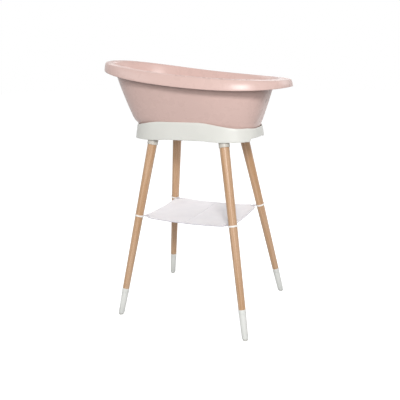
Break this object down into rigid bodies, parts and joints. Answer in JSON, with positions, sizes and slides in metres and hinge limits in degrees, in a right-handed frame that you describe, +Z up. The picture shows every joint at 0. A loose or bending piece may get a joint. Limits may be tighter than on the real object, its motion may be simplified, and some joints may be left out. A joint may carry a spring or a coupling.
{
  "type": "baby bath with stand",
  "caption": "Pink moulded baby bath with a sloping turned-down rim, standing in a white cradle ring on splayed wooden legs with white feet, a hung cloth shelf and a plugged drain",
  "frame": {"origin": "on the floor, under the middle of the bath's rim", "axes": "+X towards the foot end, where the rim is low and the drain is; +Y to the far side; +Z up"},
  "size_m": [0.86, 0.5442, 1.1577],
  "materials": {
    "tub_plastic": "satin pale pink",
    "white_plastic": "satin white",
    "foot_plastic": "satin white",
    "beech": "clear satin lacquer",
    "shelf_cloth": "white coated cloth",
    "webbing": "white sewn webbing",
    "rubber": "grey",
    "plug_rubber": "off-white",
    "steel": "zinc plated"
  },
  "bodies": {
    "stand": {"cradle_ring": "white_plastic", "leg_socket_front_left": "white_plastic", "leg_socket_front_right": "white_plastic", "leg_socket_back_left": "white_plastic", "leg_socket_back_right": "white_plastic", "leg_front_left": "beech", "leg_front_right": "beech", "leg_back_left": "beech", "leg_back_right": "beech", "foot_sleeve_front_left": "foot_plastic", "foot_sleeve_front_right": "foot_plastic", "foot_sleeve_back_left": "foot_plastic", "foot_sleeve_back_right": "foot_plastic", "foot_pad_front_left": "rubber", "foot_pad_front_right": "rubber", "foot_pad_back_left": "rubber", "foot_pad_back_right": "rubber", "shelf_band_front_left": "webbing", "shelf_band_front_right": "webbing", "shelf_band_back_left": "webbing", "shelf_band_back_right": "webbing", "shelf_strap_front_left": "webbing", "shelf_strap_front_right": "webbing", "shelf_strap_back_left": "webbing", "shelf_strap_back_right": "webbing", "leg_bolts": "steel", "socket_screws": "steel", "shelf_cloth": "shelf_cloth"},
    "tub": {"tub_shell": "tub_plastic", "drain_seat": "white_plastic", "drain_seal": "rubber", "drain_nut": "white_plastic", "drain_elbow": "white_plastic"},
    "plug": {"drain_plug": "plug_rubber"},
    "pull_ring": {"plug_pull_ring": "white_plastic"}
  },
  "joints": [
    {"name": "tub_lift", "type": "slide", "parent": "stand", "child": "tub", "axis": [0, 0, 1], "range_m": [0, 0.35]},
    {"name": "plug_pull", "type": "slide", "parent": "tub", "child": "plug", "axis": [0, 0, 1], "range_m": [0, 0.2]},
    {"name": "pull_ring_flip", "type": "hinge", "parent": "plug", "child": "pull_ring", "pos_m": [0.15, 0, 0.8543], "axis": [0, 1, 0], "range_deg": [0, 180]}
  ]
}
